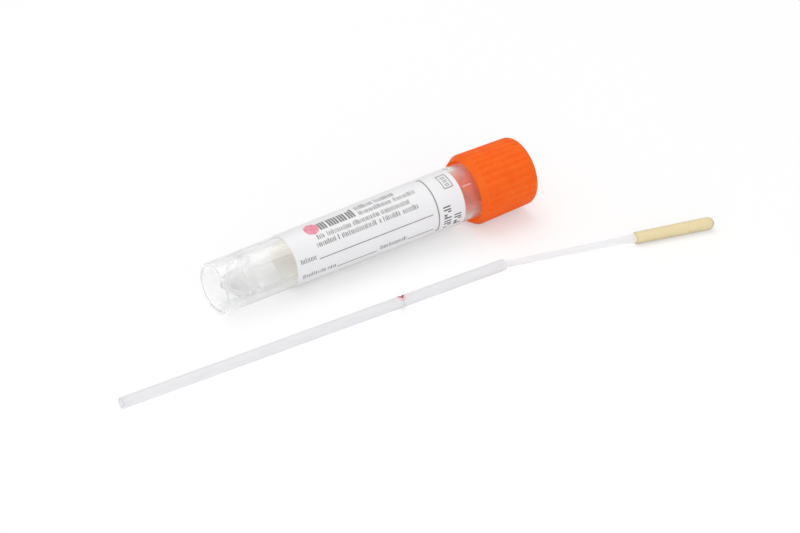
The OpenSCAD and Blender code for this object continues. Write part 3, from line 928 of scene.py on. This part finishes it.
def passing_lamps(tree, shader, out, tint, share):
    """Lets a share of the lamps' light through, as thin or milky plastic does."""
    clear = add(tree, "ShaderNodeBsdfTransparent", {"Color": (*tint, 1)})
    path = add(tree, "ShaderNodeLightPath")
    part = add(tree, "ShaderNodeMath", operation="MULTIPLY")
    part.inputs[1].default_value = share
    mix = add(tree, "ShaderNodeMixShader")
    tree.links.new(path.outputs["Is Shadow Ray"], part.inputs[0])
    tree.links.new(part.outputs[0], mix.inputs[0])
    tree.links.new(shader.outputs[0], mix.inputs[1])
    tree.links.new(clear.outputs[0], mix.inputs[2])
    tree.links.new(mix.outputs[0], out.inputs["Surface"])


def milked(tree, shader, tint, facing, edge, glow):
    """Mixes a milky scatter with a glow into a clear plastic, more where seen edge on."""
    view = add(tree, "ShaderNodeLayerWeight", {"Blend": 0.5})
    share = add(tree, "ShaderNodeMapRange", {"To Min": facing, "To Max": edge},
                interpolation_type="SMOOTHSTEP")
    tree.links.new(view.outputs["Facing"], share.inputs["Value"])
    lit = add(tree, "ShaderNodeBsdfDiffuse", {"Color": (*tint, 1)})
    through = add(tree, "ShaderNodeBsdfTranslucent", {"Color": (*tint, 1)})
    glowing = add(tree, "ShaderNodeEmission", {"Color": (*tint, 1), "Strength": glow})
    milk, mix = add(tree, "ShaderNodeMixShader"), add(tree, "ShaderNodeMixShader")
    scatter = add(tree, "ShaderNodeAddShader")
    tree.links.new(lit.outputs[0], milk.inputs[1])
    tree.links.new(through.outputs[0], milk.inputs[2])
    tree.links.new(milk.outputs[0], scatter.inputs[0])
    tree.links.new(glowing.outputs[0], scatter.inputs[1])
    tree.links.new(share.outputs["Result"], mix.inputs[0])
    tree.links.new(shader.outputs[0], mix.inputs[1])
    tree.links.new(scatter.outputs[0], mix.inputs[2])
    return mix


print("shader helpers ready")

# %% [markdown]
# ## Clear and milky plastics
# Polypropylene is clear only when thin, with a trace of milk in it, so most of its
# light is refracted and a little is scattered. The tube has two finishes, a hazier
# one below and a clearer one on the neck. The neck's milk is faintly warm, which is
# painted orange light from the cap. The mould line has a third finish, milkier and
# pink, which is a painted highlight tinted with painted light from the cap. Lamps are
# sampled in straight lines that refraction would block, so for shadow rays alone the
# wall lets light pass. The stick is a milkier polystyrene; its thin shaft has a lighter
# copy of that finish, which paints the light that passes through the thin part. The
# liquid is a clear saline. A weak glow in the lower tube, the mould line and the shaft
# stands in for light that is scattered many times. It isn't physics, and in a dark
# scene it would show.

# %% Tube, liquid and stick
def clear_finish(name, roughness, milk, facing, edge, glow, share=0.9):
    material, tree, shader, out = finish_of(name, Roughness=roughness, IOR=1.49, Transmission_Weight=1.0)
    drifting(tree, shader, (0.995, 0.995, 1.0), (0.985, 0.985, 0.975), 6.0, 1.0)
    moulded(tree, shader, 2.5, 0.35, 0.05)
    milky = milked(tree, shader, milk, facing, edge, glow)
    passing_lamps(tree, milky, out, (0.97, 0.97, 0.97), share)
    return material


# The neck's faintly warm milk is painted orange light from the cap.
dress(tube, clear_finish("clear_polypropylene", 0.1, (0.94, 0.94, 0.95), 0.06, 0.78, 0.1, 0.78),
      clear_finish("clear_neck", 0.2, (0.95, 0.92, 0.9), 0.015, 0.16, 0.0))
for face in tube.data.polygons:
    face.material_index = int((lay_tube.inverted() @ face.center).z > LABEL_END - 1)

saline, tree, shader, out = finish_of(
    "saline_medium", Roughness=0.0, IOR=1.33, Transmission_Weight=1.0)
drifting(tree, shader, (1.0, 1.0, 1.0), (0.99, 0.995, 0.985), 8.0, 1.0)
passing_lamps(tree, shader, out, (0.99, 0.99, 0.99), 0.95)
dress(liquid, saline)


def milky_finish(name, facing, milk, glow):
    material, tree, shader, out = finish_of(name, Roughness=0.3, IOR=1.5, Transmission_Weight=0.8)
    drifting(tree, shader, (0.93, 0.93, 0.945), (0.9, 0.9, 0.915), 4.0, 1.0)
    moulded(tree, shader, 1.2, 0.3, 0.03)
    milky = milked(tree, shader, (milk, milk, milk + 0.01), facing, 0.8, glow)
    passing_lamps(tree, milky, out, (0.98, 0.98, 0.985), 0.88)
    return material


# The shaft's copy has lighter milk and a glow: painted light that passes through the thin shaft.
dress(stick, milky_finish("milky_polystyrene", 0.3, 0.86, 0.0), milky_finish("milky_shaft_painted_light", 0.3, 0.9, 0.06))
for face in stick.data.polygons:
    face.material_index = int((face.center / MM - shoulder).dot(shaft_way) > 0.2)
# The mould line's milkier, pinkish, glowing finish is a painted highlight, tinted with painted light from the
# cap.
dress(mould_line, clear_finish("seam_painted_highlight", 0.2, (1.0, 0.85, 0.8), 0.3, 0.6, 0.08))
print("clear finishes done")

# %% [markdown]
# ## Orange cap and white seal
# The cap is dyed polyethylene: waxy, softly glossy, and just translucent enough
# that light reddens in it and tints the neck and the floor. Its inside has a glow
# in place of the light that comes through the wall, which a dark scene would show.
# The seal ring is a plain white elastomer.

# %% Cap and seal
orange, tree, shader, out = finish_of(
    "orange_polyethylene", Roughness=0.38, IOR=1.5, Specular_IOR_Level=0.12, Subsurface_Weight=0.15,
    Subsurface_Scale=0.001, Subsurface_Radius=(1.0, 0.3, 0.1))
drifting(tree, shader, (1.0, 0.158, 0.014), (0.99, 0.132, 0.01), 3.0, 1.0)
moulded(tree, shader, 0.5, 0.25, 0.03)
passing_lamps(tree, shader, out, (1.0, 0.22, 0.04), 0.35)
dress(cap, orange)
orange_inside = orange.copy()
orange_inside.name = "orange_lit_through"
inside = orange_inside.node_tree.nodes["Principled BSDF"]
inside.inputs["Emission Color"].default_value = (1.0, 0.13, 0.008, 1)
inside.inputs["Emission Strength"].default_value = 0.32
cap.data.materials.append(orange_inside)
for face in cap.data.polygons:
    at = lay_tube.inverted() @ face.center
    face.material_index = int(math.hypot(at.x, at.y) < CAP_BORE + 0.05 and LIP + 0.5 < at.z < CAP_END - 0.5)

seal_white, tree, shader, out = finish_of("white_elastomer", Roughness=0.5, IOR=1.45)
drifting(tree, shader, (0.86, 0.86, 0.82), (0.8, 0.79, 0.75), 1.5, 1.0)
moulded(tree, shader, 0.3, 0.3, 0.02)
dress(frame["nodes"]["cap_seal"], seal_white)
print("cap and seal done")

# %% [markdown]
# ## Label and inks
# The label's face is a satin white film, faintly cool. Its back, seen through the
# tube, is a darker warm grey; the darkness is painted shade inside the tube. A glow
# stands in for the light that passes through the film, which a dark scene would
# show. Each ink is flat and slightly uneven.

# %% Label, print and inks
film, tree, shader, out = finish_of("label_face", Roughness=0.42, IOR=1.48, Specular_IOR_Level=0.4)
drifting(tree, shader, (0.915, 0.905, 0.92), (0.895, 0.885, 0.905), 7.0, 1.0)
moulded(tree, shader, 0.35, 0.12, 0.01)
passing_lamps(tree, shader, out, (0.98, 0.97, 0.94), 0.55)
# The back: a darker grey that paints the shade inside the tube, and a glow for the light through the film.
film_back_shaded, tree, shader, out = finish_of(
    "label_back_painted_shade", Roughness=0.6, Emission_Color=(0.9, 0.88, 0.82, 1), Emission_Strength=0.34)
drifting(tree, shader, (0.8, 0.785, 0.71), (0.74, 0.725, 0.65), 5.0, 1.0)
moulded(tree, shader, 0.5, 0.2, 0.01)
passing_lamps(tree, shader, out, (0.98, 0.96, 0.9), 0.55)
dress(label, film, film_back_shaded)
for face in label.data.polygons:
    outward = face.center - rim_centre
    outward -= axis * outward.dot(axis)
    face.material_index = 0 if face.normal.dot(outward) > -0.5 * outward.length else 1


def ink_finish(name, color, other, roughness=0.5):
    material, tree, shader, out = finish_of(name, Roughness=roughness)
    drifting(tree, shader, color, other, 0.6, 1.0)
    moulded(tree, shader, 0.2, 0.2, 0.005)
    return material


dress(ticks, ink_finish("grey_print", (0.22, 0.22, 0.22), (0.3, 0.3, 0.3)))
rules = ink_finish("grey_rules", (0.26, 0.26, 0.26), (0.34, 0.34, 0.34))
dress(frame["nodes"]["ruled_lines"], rules)
dress(panel_marks, rules)
dress(frame["nodes"]["round_mark"], ink_finish("pink_print", (0.85, 0.2, 0.3), (0.9, 0.4, 0.5)))
dress(dashes, ink_finish("jet_ink", (0.02, 0.018, 0.03), (0.07, 0.06, 0.09), 0.4))
# Pink break ink, and a near-black copy that is painted shade in the notch.
dress(ink, ink_finish("break_pink", (0.92, 0.46, 0.52), (0.93, 0.66, 0.7), 0.35),
      ink_finish("notch_painted_shade", (0.16, 0.03, 0.04), (0.3, 0.08, 0.1), 0.35))
for face, dark in zip(ink.data.polygons, notch_shade):
    face.material_index = int(dark)
print("label and inks done")

# %% [markdown]
# ## Flock
# Nylon flock is matt with a soft bloom at grazing angles, which is sheen. The core
# is a darker yellow than the fibres, which is painted shade between the fibres.

# %% Core and fibres
def flock_finish(name, color, other, size):
    material, tree, shader, out = finish_of(
        name, Roughness=0.85, Sheen_Weight=0.25, Sheen_Roughness=0.5, Specular_IOR_Level=0.2)
    drifting(tree, shader, color, other, size, 1.0)
    moulded(tree, shader, 0.12, 0.5, 0.03)
    passing_lamps(tree, shader, out, (1.0, 0.9, 0.65), 0.3)
    return material


# The core's darker yellow is painted shade between the fibres.
dress(core, flock_finish("flock_core_painted_shade", (0.93, 0.78, 0.46), (0.95, 0.83, 0.54), 0.4))
dress(pile, flock_finish("flock_pile", (0.94, 0.81, 0.5), (0.96, 0.87, 0.62), 0.5))
print("flock done")

# %% [markdown]
# ## A plain white studio
# The set lies on a white table that goes on past the edge of the picture. The floor
# is ordinary white paint, so it keeps the set's shadows. For the camera, and for
# what shows through glass, it adds the little that is missing to pure white, and it
# turns white with distance, so that no horizon shows. Gloss sees a dimmer room than
# the camera does. That isn't physics, but no light is spent on it, so the colours of
# the set stay as they are written.

# %% Floor and world
FLOOR_SIZE, FLOOR_WHITE, FLOOR_SEEN, FLOOR_LIFT, AMBIENT, GLOSS_SEEN = 3.0, 0.86, 0.6, 0.42, 0.62, 0.35
WHITE_FROM, WHITE_BY = 0.35, 0.9


def seen_directly(tree):
    """1 for rays from the camera and through glass, 0 for the rest."""
    path = add(tree, "ShaderNodeLightPath")
    either = add(tree, "ShaderNodeMath", operation="MAXIMUM")
    tree.links.new(path.outputs["Is Camera Ray"], either.inputs[0])
    tree.links.new(path.outputs["Is Transmission Ray"], either.inputs[1])
    return either.outputs[0]


half = FLOOR_SIZE / 2
corners = [(-half, -half, 0), (half, -half, 0), (half, half, 0), (-half, half, 0)]
floor = shaded_object("studio_floor", corners, [(0, 1, 2, 3)], Matrix.Identity(4))
white_table, tree, shader, out = finish_of("white_table", Roughness=0.6, Specular_IOR_Level=0.0)
shader.inputs["Emission Color"].default_value = (1, 1, 1, 1)
place = add(tree, "ShaderNodeTexCoord")
distance = add(tree, "ShaderNodeVectorMath", operation="LENGTH")
tree.links.new(place.outputs["Object"], distance.inputs[0])


def by_distance(near, far):
    """A value that changes as the floor turns white, with the distance from the set."""
    reach = {"From Min": WHITE_FROM, "From Max": WHITE_BY, "To Min": near, "To Max": far}
    ramp = add(tree, "ShaderNodeMapRange", reach, interpolation_type="SMOOTHSTEP")
    tree.links.new(distance.outputs["Value"], ramp.inputs["Value"])
    return ramp.outputs["Result"]


seen = seen_directly(tree)
lift = add(tree, "ShaderNodeMath", operation="MULTIPLY")
tree.links.new(by_distance(FLOOR_LIFT, 1.0), lift.inputs[1])
tree.links.new(seen, lift.inputs[0])
tree.links.new(lift.outputs[0], shader.inputs["Emission Strength"])
paint = add(tree, "ShaderNodeMix", data_type="RGBA")
paint.inputs[6].default_value = (FLOOR_WHITE, FLOOR_WHITE, FLOOR_WHITE, 1)
tree.links.new(by_distance(FLOOR_SEEN, 0.0), paint.inputs[7])
tree.links.new(seen, paint.inputs[0])
tree.links.new(paint.outputs[2], shader.inputs["Base Color"])
dress(floor, white_table)

world = bpy.data.worlds.new("studio")
bpy.context.scene.world = world
world.use_nodes = True
tree = world.node_tree
tree.nodes.clear()
levels = [add(tree, "ShaderNodeBackground", {"Color": (1, 1, 1, 1), "Strength": level})
          for level in (AMBIENT, GLOSS_SEEN, 1.0)]
glossy = add(tree, "ShaderNodeLightPath").outputs["Is Glossy Ray"]
lit, seen = add(tree, "ShaderNodeMixShader"), add(tree, "ShaderNodeMixShader")
out = add(tree, "ShaderNodeOutputWorld")
tree.links.new(glossy, lit.inputs[0])
tree.links.new(levels[0].outputs[0], lit.inputs[1])
tree.links.new(levels[1].outputs[0], lit.inputs[2])
tree.links.new(seen_directly(tree), seen.inputs[0])
tree.links.new(lit.outputs[0], seen.inputs[1])
tree.links.new(levels[2].outputs[0], seen.inputs[2])
tree.links.new(seen.outputs[0], out.inputs["Surface"])
print("floor and world done")

# %% [markdown]
# ## Lamps
# One broad lamp hangs over the set and a little behind it, as in a light tent, so
# shadows fall softly towards the camera. A weaker one at the front left fills them.
# Their strengths add up, with the world's, to the level at which white renders as
# white.

# %% Lamps
def soft_lamp(name, place, size, level):
    """A square lamp aimed at the set, which lights a facing surface to a level."""
    light = bpy.data.lights.new(name, "AREA")
    light.shape, light.size = "SQUARE", size
    distance = Vector(place).length
    light.energy = level * math.pi ** 2 * distance ** 2
    lamp = bpy.data.objects.new(name, light)
    lamp.location = place
    lamp.rotation_euler = (-Vector(place)).to_track_quat("-Z", "Y").to_euler()
    bpy.context.scene.collection.objects.link(lamp)
    return lamp


soft_lamp("overhead", (0.05, 0.22, 0.75), 0.6, 0.3)
soft_lamp("front", (-0.3, -0.65, 0.4), 0.8, 0.3)
print("lamps done")

# %% [markdown]
# ## The camera
# A long lens from above and in front draws the set almost without perspective. The
# camera stands where its distance and the lens give the set its size in the frame.

# %% Camera
TARGET = Vector((0.00557, 0.00621, 0.0))
TOWARD_CAMERA = Vector((-0.3277, -0.4762, 0.3598))
lens = bpy.data.cameras.new("studio_camera")
lens.lens, lens.sensor_width, lens.clip_start, lens.clip_end = 135.0, 36.0, 0.01, 20.0
camera = bpy.data.objects.new("studio_camera", lens)
camera.location = TARGET + TOWARD_CAMERA
camera.rotation_euler = (-TOWARD_CAMERA).to_track_quat("-Z", "Y").to_euler()
bpy.context.scene.collection.objects.link(camera)
bpy.context.scene.camera = camera
bpy.context.scene.view_settings.view_transform = "Standard"
print("camera", round(TOWARD_CAMERA.length, 3), "m away")
